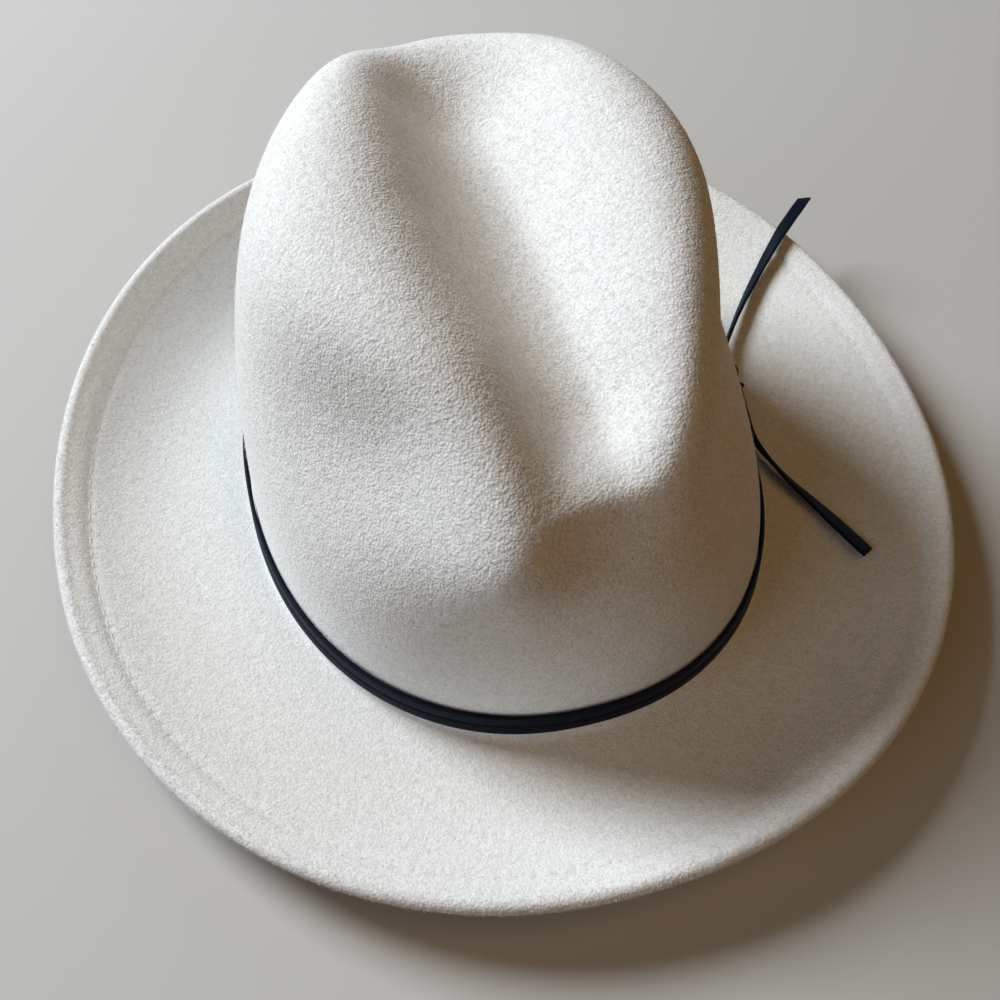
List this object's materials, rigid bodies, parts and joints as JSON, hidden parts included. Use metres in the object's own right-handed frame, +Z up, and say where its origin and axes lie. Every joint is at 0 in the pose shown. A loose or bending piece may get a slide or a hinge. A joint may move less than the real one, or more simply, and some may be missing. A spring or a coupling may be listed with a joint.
{
  "type": "fedora hat",
  "caption": "Felt fedora with a creased and pinched crown, a stitched brim, a leather sweatband and a black lace band with loose tails.",
  "frame": {"origin": "middle of the brim's outline, at the level of the flat foot that the hat stands on", "axes": "+Z up through the crown, -Y towards the front of the hat, +X towards the wearer's left, where the lace tails are"},
  "size_m": [0.2972, 0.3185, 0.1271],
  "materials": {
    "felt": "matt off-white felt with a short soft nap",
    "thread": "matt sewing thread, tone on tone",
    "wire": "plain drawn steel, hidden in the hem",
    "sweatband_leather": "smooth brown leather, semi-matt",
    "reed": "matt black plastic",
    "ribbon": "fine ribbed black ribbon",
    "tag": "plain white woven tag, bare",
    "lace": "flat black leather lace with a low sheen"
  },
  "bodies": {
    "hat": {"felt_body": "felt", "brim_wire": "wire", "brim_stitching": "thread", "sweatband": "sweatband_leather", "sweatband_reed": "reed", "sweatband_stitching": "thread", "sweatband_bow": "ribbon", "size_tag": "tag"},
    "lace_band": {"lace_lower_turn": "lace", "lace_upper_turn": "lace", "lace_knot": "lace", "front_tail": "lace", "rear_tail": "lace"}
  },
  "joints": [
    {"name": "band_lift", "type": "slide", "parent": "hat", "child": "lace_band", "axis": [0, 0, 1], "range_m": [0, 0.125]}
  ]
}
